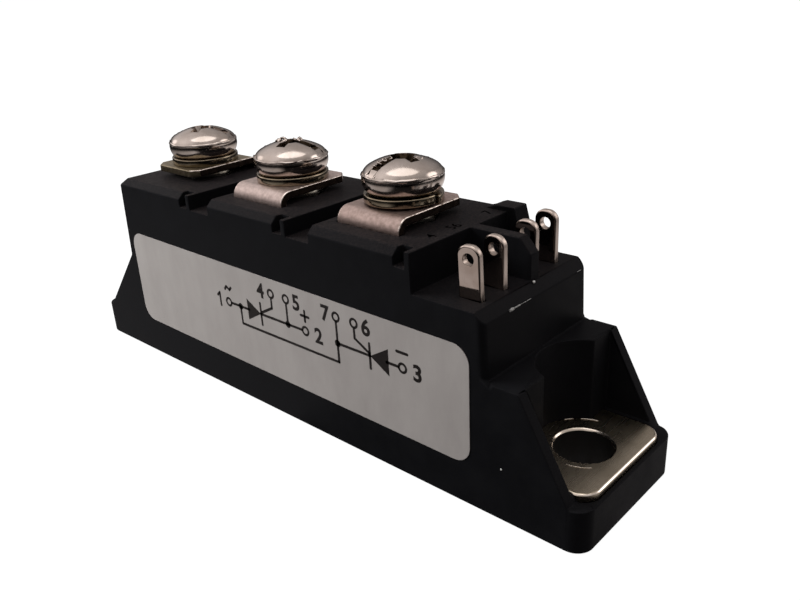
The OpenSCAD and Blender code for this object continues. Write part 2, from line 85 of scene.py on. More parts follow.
def linear(hex_colour: str) -> Colour:
    """Turns an sRGB hex colour into linear values.

    Args:
        hex_colour: Colour as "#rrggbb".

    Returns:
        Linear red, green and blue, with an alpha of 1.
    """
    channels = [int(hex_colour[i:i + 2], 16) / 255 for i in (1, 3, 5)]
    red, green, blue = (c / 12.92 if c <= 0.04045 else ((c + 0.055) / 1.055) ** 2.4 for c in channels)
    return red, green, blue, 1.0


def add_node(tree: bpy.types.NodeTree, kind: str, settings: dict[str | int, Any] | None = None,
             links: dict[str | int, bpy.types.NodeSocket] | None = None,
             **attributes: Any) -> bpy.types.Node:
    """Adds one node with its settings and links.

    Args:
        tree: Node tree that takes the node.
        kind: Blender's identifier of the node.
        settings: Values of input sockets, by name or index.
        links: Sockets that feed input sockets, by name or index.
        **attributes: Values of the node's own properties.

    Returns:
        The new node.
    """
    node = tree.nodes.new(kind)
    for name, value in attributes.items():
        setattr(node, name, value)
    for name, value in (settings or {}).items():
        node.inputs[name].default_value = value
    for name, socket in (links or {}).items():
        tree.links.new(socket, node.inputs[name])
    return node


def new_material(name: str) -> bpy.types.Material:
    """Makes a material with an empty node tree.

    Args:
        name: Name of the material.

    Returns:
        The new material.
    """
    material = bpy.data.materials.new(name)
    material.use_nodes = True
    material.node_tree.nodes.clear()
    return material


def per_mm(size_mm: float) -> float:
    """Gives the texture scale, in metres, at which one cell of a pattern has this size."""
    return 1.0 / (size_mm * MM)


class Pattern(Enum):
    """Direction in which a metal's fine lines run."""

    EVEN = (1.0, 1.0, 1.0)
    ALONG_Y = (1.0, 0.06, 1.0)
    ALONG_Z = (1.0, 1.0, 0.06)


class Part(Enum):
    """Kind of mesh part to select, with the name of its list in a mesh."""

    VERT = "vertices"
    EDGE = "edges"
    FACE = "polygons"


@dataclass(frozen=True)
class Surface:
    """What every finish has: two colours in patches, a roughness that varies and a fine relief."""

    name: str
    colour: str
    patch: str
    roughness: float
    spread: float
    grain_mm: float
    patch_mm: float
    bump_mm: float

    def complete(self, tree: bpy.types.NodeTree, colour: bpy.types.NodeSocket, wear: bpy.types.NodeSocket,
                 grain: bpy.types.NodeSocket, settings: dict[str | int, Any]) -> None:
        """Adds what follows a finish's colour: gloss, relief, shader and output.

        Args:
            tree: Node tree of the material.
            colour: Base colour.
            wear: Pattern that the roughness follows.
            grain: Pattern that the relief follows.
            settings: Values of the shader's own sockets.
        """
        gloss = add_node(tree, "ShaderNodeMapRange",
                         {"From Min": 0.3, "From Max": 0.7, "To Min": self.roughness - self.spread,
                          "To Max": self.roughness + self.spread}, {"Value": wear})
        relief = add_node(tree, "ShaderNodeBump", {"Strength": 1.0, "Distance": self.bump_mm * MM},
                          {"Height": grain})
        shader = add_node(tree, "ShaderNodeBsdfPrincipled", settings,
                          {"Base Color": colour, "Roughness": gloss.outputs["Result"],
                           "Normal": relief.outputs["Normal"]})
        add_node(tree, "ShaderNodeOutputMaterial", links={"Surface": shader.outputs["BSDF"]})


@dataclass(frozen=True)
class Metal(Surface):
    """Plated metal: a mirror colour broken by fine lines, dull patches and stains."""

    pattern: Pattern = Pattern.EVEN
    stain_share: float = 0.45

    def build(self) -> bpy.types.Material:
        """Makes the material.

        Returns:
            The new material.
        """
        material = new_material(self.name)
        tree = material.node_tree
        place = add_node(tree, "ShaderNodeTexCoord").outputs["Object"]
        stretched = add_node(tree, "ShaderNodeMapping", {"Scale": self.pattern.value}, {"Vector": place})
        lines = add_node(tree, "ShaderNodeTexNoise",
                         {"Scale": per_mm(self.grain_mm), "Detail": 3.0, "Roughness": 0.6},
                         {"Vector": stretched.outputs[0]})
        patches = add_node(tree, "ShaderNodeTexNoise",
                           {"Scale": per_mm(self.patch_mm), "Detail": 4.0, "Roughness": 0.55},
                           {"Vector": place})
        tint = add_node(tree, "ShaderNodeValToRGB", links={"Fac": patches.outputs["Fac"]})
        stained, clean = tint.color_ramp.elements
        stained.position = 0.3
        stained.color = linear(self.patch)
        clean.position = 0.3 + self.stain_share
        clean.color = linear(self.colour)
        self.complete(tree, tint.outputs["Color"], lines.outputs["Fac"], lines.outputs["Fac"],
                      {"Metallic": 1.0})
        return material


@dataclass(frozen=True)
class Solid(Surface):
    """Plastic, ceramic, foil, ink or fill: a body colour with speckle, patches and a fine moulded grain."""

    specular: float = 0.5
    stretch: Point3 = (1.0, 1.0, 1.0)
    dust: str = ""
    dust_from_mm: float = 22.0
    dust_rise_mm: float = 4.0

    def build(self) -> bpy.types.Material:
        """Makes the material.

        Returns:
            The new material.
        """
        material = new_material(self.name)
        tree = material.node_tree
        place = add_node(tree, "ShaderNodeTexCoord").outputs["Object"]
        stretched = add_node(tree, "ShaderNodeMapping", {"Scale": self.stretch}, {"Vector": place})
        grain = add_node(tree, "ShaderNodeTexNoise",
                         {"Scale": per_mm(self.grain_mm), "Detail": 2.0, "Roughness": 0.5},
                         {"Vector": stretched.outputs[0]})
        patches = add_node(tree, "ShaderNodeTexNoise",
                           {"Scale": per_mm(self.patch_mm), "Detail": 5.0, "Roughness": 0.6},
                           {"Vector": stretched.outputs[0]})
        tint = add_node(tree, "ShaderNodeValToRGB", links={"Fac": patches.outputs["Fac"]})
        plain, patched = tint.color_ramp.elements
        plain.position = 0.35
        plain.color = linear(self.colour)
        patched.position = 0.7
        patched.color = linear(self.patch)
        colour = tint.outputs["Color"]
        if self.dust:
            colour = self.dusted(tree, colour, place, grain.outputs["Fac"])
        self.complete(tree, colour, patches.outputs["Fac"], grain.outputs["Fac"],
                      {"Specular IOR Level": self.specular})
        return material

    def dusted(self, tree: bpy.types.NodeTree, colour: bpy.types.NodeSocket, place: bpy.types.NodeSocket,
               grain: bpy.types.NodeSocket) -> bpy.types.NodeSocket:
        """Greys the faces that lie open on top.

        Args:
            tree: Node tree of the material.
            colour: Body colour.
            place: Object coordinates.
            grain: Moulded grain, which holds the dust in specks.

        Returns:
            Body colour with its dust.
        """
        facing = add_node(tree, "ShaderNodeSeparateXYZ",
                          links={0: add_node(tree, "ShaderNodeTexCoord").outputs["Normal"]})
        upward = add_node(tree, "ShaderNodeMapRange", {"From Min": 0.5, "From Max": 1.0},
                          {"Value": facing.outputs["Z"]})
        height = add_node(tree, "ShaderNodeSeparateXYZ", links={0: place})
        dust_to_mm = self.dust_from_mm + self.dust_rise_mm
        exposed = add_node(tree, "ShaderNodeMapRange",
                           {"From Min": self.dust_from_mm * MM, "From Max": dust_to_mm * MM},
                           {"Value": height.outputs["Z"]})
        specks = add_node(tree, "ShaderNodeMapRange", {"From Min": 0.35, "From Max": 0.7}, {"Value": grain})
        share = upward.outputs[0]
        for limit in (exposed, specks):
            share = add_node(tree, "ShaderNodeMath", links={0: share, 1: limit.outputs[0]},
                             operation="MULTIPLY").outputs[0]
        return add_node(tree, "ShaderNodeMix", {"B": linear(self.dust)}, {"Factor": share, "A": colour},
                        data_type="RGBA").outputs["Result"]


class Finish(Enum):
    """Every finish on the module."""

    # Glass-filled polyester, moulded: nearly black, with a matt grain that catches light at low angles. The
    # grain is drawn coarser than the real one, so that it shows. Dust greys what lies open on top.
    BLACK_PLASTIC = Solid("moulded_black_polyester", "#121214", "#161618", 0.5, 0.06, 0.22, 3.0, 0.006, 0.03,
                          dust="#2b2626")
    # Pale marks: a front nick, and painted highlights on the tab end's wall edge and the rib's foot.
    RUBBED_PLASTIC = Solid("rubbed_plastic_edge", "#a5a5a2", "#ededea", 0.45, 0.1, 0.1, 0.4, 0.004, 0.3)
    # Sunk characters in the moulding: deeper black, because light doesn't reach their floor.
    SUNK_MARK = Solid("sunk_mark_black", "#020202", "#040404", 0.8, 0.05, 0.2, 2.0, 0.002, 0.0)
    # Nickel on copper, dulled in use: warm grey with faint lines across the plate.
    NICKEL_PLATE = Metal("dull_nickel_plating", "#b3a896", "#978c7a", 0.28, 0.02, 0.3, 4.0, 0.0001,
                         Pattern.ALONG_Y)
    # Painted highlight: the plate's slanted rim facets and its thin beads, drawn bright as lit lines.
    PLATE_RIM = Metal("polished_plate_rim", "#f4ebe0", "#c9bcab", 0.2, 0.05, 0.3, 1.5, 0.0006)
    # The drilled bore's walls are painted almost black: painted shade deep inside the bore.
    DARK_BORE = Solid("tarnished_bore", "#0c0a08", "#15110d", 0.6, 0.08, 0.3, 1.5, 0.004, 0.2)
    # Matt tin on rolled copper: pinkish white with a sandy grain, drawn coarse enough to show.
    TIN_STRIP = Metal("matt_tin_plating", "#c7b2aa", "#a28f87", 0.46, 0.07, 0.3, 0.5, 0.008)
    # The same tin painted a lighter white for the second strip: painted light.
    FRESH_TIN = Metal("fresh_tin_plating", "#dccbc4", "#bcaba4", 0.46, 0.07, 0.3, 0.5, 0.008)
    # The first strip's tin has aged to a dull olive.
    AGED_TIN = Metal("aged_tin_plating", "#a89c85", "#7d725a", 0.42, 0.07, 0.3, 0.6, 0.008)
    # Sheared strip sides, painted near black: painted shade.
    SHEARED = Metal("sheared_strip_side", "#382e28", "#1c1613", 0.5, 0.1, 0.15, 0.8, 0.01)
    # Painted highlight: the rounded upper rims of the strip sides, bright with dark patches.
    WORN_RIM = Metal("rubbed_strip_rim", "#f2e6dc", "#6a594d", 0.3, 0.1, 0.2, 0.5, 0.004, stain_share=0.25)
    # Painted shade: floor and walls of the screw drives, drawn dark brown as the shade in them.
    DRIVE = Metal("torn_screw_drive", "#6a5a48", "#2c231b", 0.4, 0.1, 0.2, 0.6, 0.01)
    # Bright tin on brass blades: a clear mirror with draw lines up its length.
    TIN_TAB = Metal("bright_tin_plating", "#cfc0b6", "#b7a69b", 0.07, 0.02, 0.3, 2.0, 0.0003,
                    Pattern.ALONG_Z)
    # Stamped sides of the blades: the same tin left dull, so that it is pale from any side.
    TAB_SIDE = Metal("stamped_tab_side", "#cdc0b6", "#b0a297", 0.4, 0.05, 0.2, 2.0, 0.001, Pattern.ALONG_Z)
    # Polished nickel on the screw heads: a mirror with light scuffs.
    SCREW_NICKEL = Metal("bright_nickel_plating", "#cec3bb", "#aea298", 0.15, 0.05, 0.5, 2.5, 0.0008)
    # Plated spring steel rings: a darker and yellower mirror than the screws.
    SPRING = Metal("plated_spring_steel", "#a89c88", "#736856", 0.15, 0.05, 0.5, 2.0, 0.0008)
    # Zinc on the steel nuts: light grey and a little dull.
    ZINC = Metal("zinc_plating", "#c4c1b9", "#a09c92", 0.2, 0.06, 0.4, 2.0, 0.001)
    # Bare copper of the pads and the strap: warm, and dulled by the heat of soldering.
    COPPER = Metal("bare_copper", "#c98a63", "#9c5f3d", 0.35, 0.06, 0.4, 3.0, 0.002)
    # Contact discs, lapped flat: plain dull grey.
    CONTACT = Metal("dull_contact_metal", "#a4a4a6", "#808082", 0.4, 0.06, 0.4, 3.0, 0.002)
    # Grey foil, slightly mottled down its height.
    FOIL = Solid("grey_printed_foil", "#989290", "#a29c9a", 0.5, 0.05, 0.25, 4.0, 0.002, 0.3,
                 (1.0, 1.0, 0.4))
    # Flat black print, hardly glossy.
    INK = Solid("black_print", "#161212", "#1d1918", 0.6, 0.05, 0.1, 1.0, 0.001, 0.25)
    # Fired alumina: a chalky white.
    ALUMINA = Solid("fired_alumina", "#ece7dc", "#e0d9ca", 0.6, 0.05, 0.2, 3.0, 0.003)
    # Polished silicon: dark blue-grey and glossy.
    SILICON = Solid("polished_silicon", "#3c4046", "#4a4f57", 0.15, 0.03, 0.3, 4.0, 0.0005)
    # Red wire covers, extruded smooth and half glossy.
    WIRE = Solid("red_wire_cover", "#b9332b", "#a52c25", 0.35, 0.05, 0.3, 3.0, 0.001)
    # Poured silicone: pale and slightly glossy.
    GEL = Solid("soft_silicone_fill", "#d9dcd2", "#cfd3c7", 0.3, 0.05, 0.5, 4.0, 0.004)


class Workshop:
    """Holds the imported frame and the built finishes, and the operators that every piece uses."""

    def __init__(self, frame: dict[str, Any]) -> None:
        """Keeps the frame and builds each finish once.
        """
        self.nodes: dict[str, bpy.types.Object] = frame["nodes"]
        self.materials = {finish: finish.value.build() for finish in Finish}

    @staticmethod
    def clear_selection() -> None:
        """Leaves nothing selected."""
        if bpy.context.mode != "OBJECT":
            bpy.ops.object.mode_set(mode="OBJECT")
        bpy.ops.object.select_all(action="DESELECT")

    def pick(self, piece: bpy.types.Object) -> None:
        """Makes one piece the only selected and active object.

        Args:
            piece: Piece to pick.
        """
        self.clear_selection()
        piece.select_set(True)
        bpy.context.view_layer.objects.active = piece

    def open_mesh(self, piece: bpy.types.Object, kind: Part, wanted: Callable[[Any], bool]) -> None:
        """Opens a piece in edit mode with only some of its parts selected.

        Args:
            piece: Piece to open.
            kind: Kind of part to select.
            wanted: Says whether a vertex, edge or face is selected.
        """
        self.pick(piece)
        bpy.ops.object.mode_set(mode="EDIT")
        bpy.ops.mesh.select_mode(type=kind.name)
        bpy.ops.mesh.select_all(action="DESELECT")
        bpy.ops.object.mode_set(mode="OBJECT")
        for part in getattr(piece.data, kind.value):
            part.select = wanted(part)
        bpy.ops.object.mode_set(mode="EDIT")

    def dress(self, piece: bpy.types.Object, *finishes: Finish) -> None:
        """Gives a piece its finishes, the first one all over.

        Args:
            piece: Piece to dress.
            *finishes: Its finishes, in the order of its material slots.
        """
        piece.data.materials.clear()
        for finish in finishes:
            piece.data.materials.append(self.materials[finish])

    def settle(self, piece: bpy.types.Object) -> None:
        """Applies a piece's place, so that its object sits at the origin."""
        self.pick(piece)
        bpy.ops.object.transform_apply(location=True, rotation=True, scale=True)

    def hold(self, piece: bpy.types.Object, slot: str, *replaced: str) -> None:
        """Rides a piece on the module and hides the CAD nodes that it stands for.

        Args:
            piece: Finished piece.
            slot: Not used.
            *replaced: CAD nodes that the piece stands for.
        """
        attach(piece, ROOT)
        if replaced:
            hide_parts(*replaced)
        LOG.info("%s: %d faces", piece.name, len(piece.data.polygons))

    def join(self, pieces: list[bpy.types.Object], name: str) -> bpy.types.Object:
        """Joins several pieces into the first one.

        Args:
            pieces: Pieces to join.
            name: Name of the joined piece.

        Returns:
            The joined piece, with its object at the origin.
        """
        self.clear_selection()
        for piece in pieces:
            piece.select_set(True)
        bpy.context.view_layer.objects.active = pieces[0]
        bpy.ops.object.join()
        pieces[0].name = name
        self.settle(pieces[0])
        return pieces[0]

    def merged_copy(self, node: str, name: str) -> bpy.types.Object:
        """Copies a CAD node and merges its loose triangles into flat faces.

        Args:
            node: CAD node to copy.
            name: Name of the new piece.

        Returns:
            The new piece.
        """
        self.clear_selection()
        piece = bpy.data.objects.new(name, self.nodes[node].data.copy())
        bpy.context.scene.collection.objects.link(piece)
        self.pick(piece)
        bpy.ops.mesh.customdata_custom_splitnormals_clear()
        bpy.ops.object.mode_set(mode="EDIT")
        bpy.ops.mesh.select_all(action="SELECT")
        bpy.ops.mesh.remove_doubles(threshold=0.002 * MM)
        bpy.ops.mesh.dissolve_limited(angle_limit=math.radians(0.1))
        bpy.ops.mesh.vert_connect_concave()
        bpy.ops.object.mode_set(mode="OBJECT")
        return piece

    def round_edges(self, piece: bpy.types.Object, wanted: Callable[[Vector, Vector], bool],
                    radius_mm: float, segments: int) -> None:
        """Rounds some edges of a piece with a radius of their own.

        Args:
            piece: Piece to change.
            wanted: Says from an edge's two ends whether it is rounded.
            radius_mm: Radius of the rounding.
            segments: Steps across it.
        """
        self.open_mesh(piece, Part.EDGE,
                       lambda edge: wanted(*(piece.data.vertices[index].co for index in edge.vertices)))
        bpy.ops.mesh.bevel(offset_type="OFFSET", offset=radius_mm * MM, segments=segments, affect="EDGES",
                           clamp_overlap=False)
        bpy.ops.object.mode_set(mode="OBJECT")

    def soften(self, piece: bpy.types.Object, node: str, edge_mm: float, segments: int = 2,
               sharp_deg: float = 30.0) -> None:
        """Rounds a piece's sharp edges, shades it smooth and keeps it inside its CAD node's box.

        Args:
            piece: Piece to change.
            node: CAD node that the piece stands for.
            edge_mm: Width of the rounding.
            segments: Steps across each rounding.
            sharp_deg: Smallest angle of an edge that is rounded.
        """
        self.pick(piece)
        rounding = piece.modifiers.new("edges", "BEVEL")
        rounding.width = edge_mm * MM
        rounding.segments = segments
        rounding.limit_method = "ANGLE"
        rounding.angle_limit = math.radians(sharp_deg)
        rounding.use_clamp_overlap = False
        rounding.miter_outer = "MITER_ARC"
        rounding.face_strength_mode = "FSTR_ALL"
        bpy.ops.object.modifier_apply(modifier=rounding.name)
        low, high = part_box(node)
        for vertex in piece.data.vertices:
            vertex.co = [min(max(value, a), b) for value, a, b in zip(vertex.co, low, high)]
        bpy.ops.object.shade_smooth_by_angle(angle=math.radians(40))
        shading = piece.modifiers.new("shading", "WEIGHTED_NORMAL")
        shading.keep_sharp = True
        shading.use_face_influence = True
        bpy.ops.object.modifier_apply(modifier=shading.name)

    def dented(self, dent_mm: float, seed: int, cuts: int = 0) -> bpy.types.Object:
        """Dents the new primitive that is active.

        Args:
            dent_mm: Largest move of a corner.
            seed: Chooses the dents.
            cuts: Cuts that first divide each of its edges.

        Returns:
            The primitive, shaded smooth.
        """
        bpy.ops.object.mode_set(mode="EDIT")
        bpy.ops.mesh.select_all(action="SELECT")
        if cuts:
            bpy.ops.mesh.subdivide(number_cuts=cuts)
        bpy.ops.transform.vertex_random(offset=dent_mm * MM, seed=seed)
        bpy.ops.object.mode_set(mode="OBJECT")
        bpy.ops.object.shade_smooth()
        return bpy.context.object

    def flat_text(self, text: str, height_mm: float, bold_mm: float, thick_mm: float) -> bpy.types.Object:
        """Makes a character as a thin plate that lies round the origin.

        Args:
            text: The character or characters.
            height_mm: Height of a number.
            bold_mm: How far the outline is spread.
            thick_mm: Thickness of the plate, upwards from the floor.

        Returns:
            The plate, as a mesh.
        """
        self.clear_selection()
        bpy.ops.object.text_add()
        curve = bpy.context.object.data
        curve.body = text
        curve.align_x = "CENTER"
        curve.size = height_mm / 0.7 * MM
        curve.offset = bold_mm * MM
        curve.extrude = thick_mm / 2 * MM
        bpy.ops.object.convert(target="MESH")
        plate = bpy.context.object
        middle = sum((Vector(corner) for corner in plate.bound_box), Vector()) / 8
        plate.data.transform(Matrix.Translation((-middle.x, -middle.y, thick_mm / 2 * MM)))
        return plate


@dataclass(frozen=True)
class Arc:
    """Bright bead on the plate, part of a ring round the mounting hole: a painted highlight."""

    radius_mm: float
    bead_mm: float
    first_deg: float
    last_deg: float

    def leaves_out(self, vertex: bpy.types.MeshVertex) -> bool:
        """Says whether a vertex of the whole ring lies outside the arc."""
        return not self.first_deg < math.degrees(math.atan2(vertex.co.y, vertex.co.x)) < self.last_deg


@dataclass(frozen=True)
class EdgeGlint:
    """Pale strip along the edge of the tab end's wall, from one Y to another: a painted highlight."""

    start_mm: float
    end_mm: float
    radius_mm: float


@dataclass(frozen=True)
class PaleDot:
    """Small pale dot on the moulding, either a nick or a painted highlight as listed."""

    place_mm: Point3
    radius_mm: float


@dataclass
class Body:
    """The black moulding, the numbers sunk in it and the plate it stands on."""

    shop: Workshop
    housing_edge_mm: float = 0.17
    side_margin_mm: float = 0.05
    corner_r_mm: float = 0.85
    corner_steps: int = 6
    corner_min_mm: float = 3.0
    end_wall_x_mm: Point2 = (33.6, 34.4)
    end_wall_z_mm: Point2 = (16.0, 23.0)
    ledge_z_mm: float = 16.2
    seat_z_mm: float = 28.25
    plate_edge_mm: float = 0.1
    hole_x_mm: float = 40.0
    bore_r_mm: float = 3.1
    # Slopes, as normal Z, of the facets that get a painted highlight at the hole rim and the outer rim.
    hole_highlight_up: Point2 = (0.5, 0.97)
    outer_highlight_up: Point2 = (0.5, 0.9)
    # Two arcs of painted glints round the recess, and one along a washer's mark.
    arcs: tuple[Arc, ...] = (Arc(5.42, 0.05, 101.0, 126.0), Arc(5.42, 0.05, 131.0, 146.0),
                             Arc(4.3, 0.03, -94.0, -48.0))
    glint_x_mm: float = 33.82
    glint_z_mm: float = 22.5
    glint_dent: float = 0.5
    # Pale strips along the wall's edge, painting its highlight.
    edge_glints: tuple[EdgeGlint, ...] = (EdgeGlint(-5.35, -4.6, 0.13), EdgeGlint(-4.6, -3.4, 0.06), EdgeGlint(-3.2, -1.4, 0.02),
                             EdgeGlint(8.0, 8.8, 0.025))
    # A nick in the front, and a pale dot that paints the highlight at the rib's foot.
    nick_and_glint_dots: tuple[PaleDot, ...] = (PaleDot((36.11, -9.98, 6.63), 0.13), PaleDot((33.0, 0.37, 23.62), 0.16))
    dot_rise_mm: float = 0.04
    mark_x_mm: float = 22.8
    mark_h_mm: float = 1.35
    mark_bold_mm: float = 0.02
    mark_t_mm: float = 0.004
    marks: dict[str, float] = field(default_factory=lambda: {"4": -4.5, "56": -0.5, "7": 5.9})

    def build(self) -> None:
        """Makes the pieces."""
        self.housing()
        self.plate()
        self.sunk_marks()
        self.rubbed_edge()
        self.recess_bead()

    def housing(self) -> None:
        """Makes the moulding, with round upright corners at the tab end."""
        housing = self.shop.merged_copy("housing", "housing_shell")
        half_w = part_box("housing")[1].y - self.side_margin_mm * MM

        def upright_corner(a: Vector, b: Vector) -> bool:
            """Says whether an edge is an upright corner of the tab end's wall."""
            inside = all(abs(p.y) > half_w and self.end_wall_x_mm[0] < p.x / MM < self.end_wall_x_mm[1]
                         and self.end_wall_z_mm[0] < p.z / MM < self.end_wall_z_mm[1] for p in (a, b))
            return inside and abs(a.z - b.z) > self.corner_min_mm * MM

        # A score across the long sides at the ledge's height lets the round corners end on the ledge.
        self.shop.open_mesh(housing, Part.FACE,
                            lambda face: abs(face.normal.y) > 0.99 and abs(face.center.y) > half_w)
        bpy.ops.mesh.bisect(plane_co=(0, 0, self.ledge_z_mm * MM), plane_no=(0, 0, 1), threshold=0.01 * MM)
        bpy.ops.object.mode_set(mode="OBJECT")
        self.shop.round_edges(housing, upright_corner, self.corner_r_mm, self.corner_steps)
        self.shop.soften(housing, "housing", self.housing_edge_mm)
        self.shop.dress(housing, Finish.BLACK_PLASTIC)
        self.shop.hold(housing, "black_plastic", "housing")

    def plate(self) -> None:
        """Makes the plated base, with painted shade on its bores and painted highlights on its rims."""
        plate = self.shop.merged_copy("base_plate", "plated_base")
        self.shop.soften(plate, "base_plate", self.plate_edge_mm, 3)
        self.shop.dress(plate, Finish.NICKEL_PLATE, Finish.DARK_BORE, Finish.PLATE_RIM)
        for face in plate.data.polygons:
            from_axis = math.hypot(abs(face.center.x / MM) - self.hole_x_mm, face.center.y / MM)
            lowest, highest = self.hole_highlight_up if from_axis < 2 * self.bore_r_mm else self.outer_highlight_up
            # Bore walls get painted shade.
            if from_axis < self.bore_r_mm + 0.2 and abs(face.normal.z) < 0.4:
                face.material_index = 1
            # Facets in those slopes get a painted highlight.
            elif lowest < face.normal.z < highest:
                face.material_index = 2
        self.shop.hold(plate, "nickel_plate", "base_plate")

    def sunk_marks(self) -> None:
        """Puts the tab numbers on the band beside the tabs, read from the tab end."""
        marks = []
        for text, y in self.marks.items():
            mark = self.shop.flat_text(text, self.mark_h_mm, self.mark_bold_mm, self.mark_t_mm)
            mark.matrix_world = (Matrix.Translation((self.mark_x_mm * MM, y * MM, self.seat_z_mm * MM))
                                 @ Matrix.Rotation(math.pi / 2, 4, "Z"))
            self.shop.settle(mark)
            marks.append(mark)
        numbers = self.shop.join(marks, "tab_numbers")
        self.shop.dress(numbers, Finish.SUNK_MARK)
        self.shop.hold(numbers, "black_plastic")

    def recess_bead(self) -> None:
        """Lays bright beads on the plate as painted highlights, round the tab end's recess and where a
        washer sat.
        """
        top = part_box("base_plate")[1].z
        beads = []
        for arc in self.arcs:
            self.shop.clear_selection()
            bpy.ops.mesh.primitive_torus_add(
                location=(self.hole_x_mm * MM, 0, top + arc.bead_mm / 2 * MM), major_segments=180,
                minor_segments=6, major_radius=arc.radius_mm * MM, minor_radius=arc.bead_mm * MM)
            bead = bpy.context.object
            self.shop.open_mesh(bead, Part.VERT, arc.leaves_out)
            bpy.ops.mesh.delete(type="VERT")
            bpy.ops.mesh.select_all(action="SELECT")
            bpy.ops.mesh.fill_holes(sides=6)
            self.shop.settle(bead)
            bpy.ops.object.shade_smooth()
            beads.append(bead)
        rings = self.shop.join(beads, "recess_bead")
        self.shop.dress(rings, Finish.PLATE_RIM)
        self.shop.hold(rings, "nickel_plate")

    def rubbed_edge(self) -> None:
        """Lays pale strips that paint the highlight on the tab end's wall edge, a painted highlight at the
        rib's foot, and a nick.
        """
        pale = []
        for seed, glint in enumerate(self.edge_glints):
            self.shop.clear_selection()
            bpy.ops.mesh.primitive_cylinder_add(vertices=8, radius=glint.radius_mm * MM,
                                                depth=(glint.end_mm - glint.start_mm) * MM)
            middle = Vector((self.glint_x_mm, (glint.start_mm + glint.end_mm) / 2, self.glint_z_mm)) * MM
            lying = Matrix.Rotation(math.pi / 2, 4, "X")
            bpy.context.object.matrix_world = Matrix.Translation(middle) @ lying
            self.shop.settle(bpy.context.object)
            pale.append(self.shop.dented(glint.radius_mm * self.glint_dent, seed, 6))
        for pale_dot in self.nick_and_glint_dots:
            self.shop.clear_selection()
            bpy.ops.mesh.primitive_ico_sphere_add(subdivisions=2, radius=pale_dot.radius_mm * MM,
                                                  location=Vector(pale_dot.place_mm) * MM)
            bpy.ops.object.shade_smooth()
            pale.append(bpy.context.object)
        edge = self.shop.join(pale, "rubbed_edge")
        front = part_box("housing")[0].y - self.dot_rise_mm * MM
        for vertex in edge.data.vertices:
            vertex.co.y = max(vertex.co.y, front)
        self.shop.dress(edge, Finish.RUBBED_PLASTIC)
        self.shop.hold(edge, "black_plastic")


@dataclass(frozen=True)
class Stance:
    """How a tab stands: raised, turned about its height and leaned along the module."""

    lift_mm: float
    turn_deg: float = 0.0
    lean_deg: float = 0.0


@dataclass(frozen=True)
class Burr:
    """Crumb of torn metal on a screw head, placed from the middle of the head's underside."""

    head: int
    x_mm: float
    y_mm: float
    z_mm: float
    size_mm: float


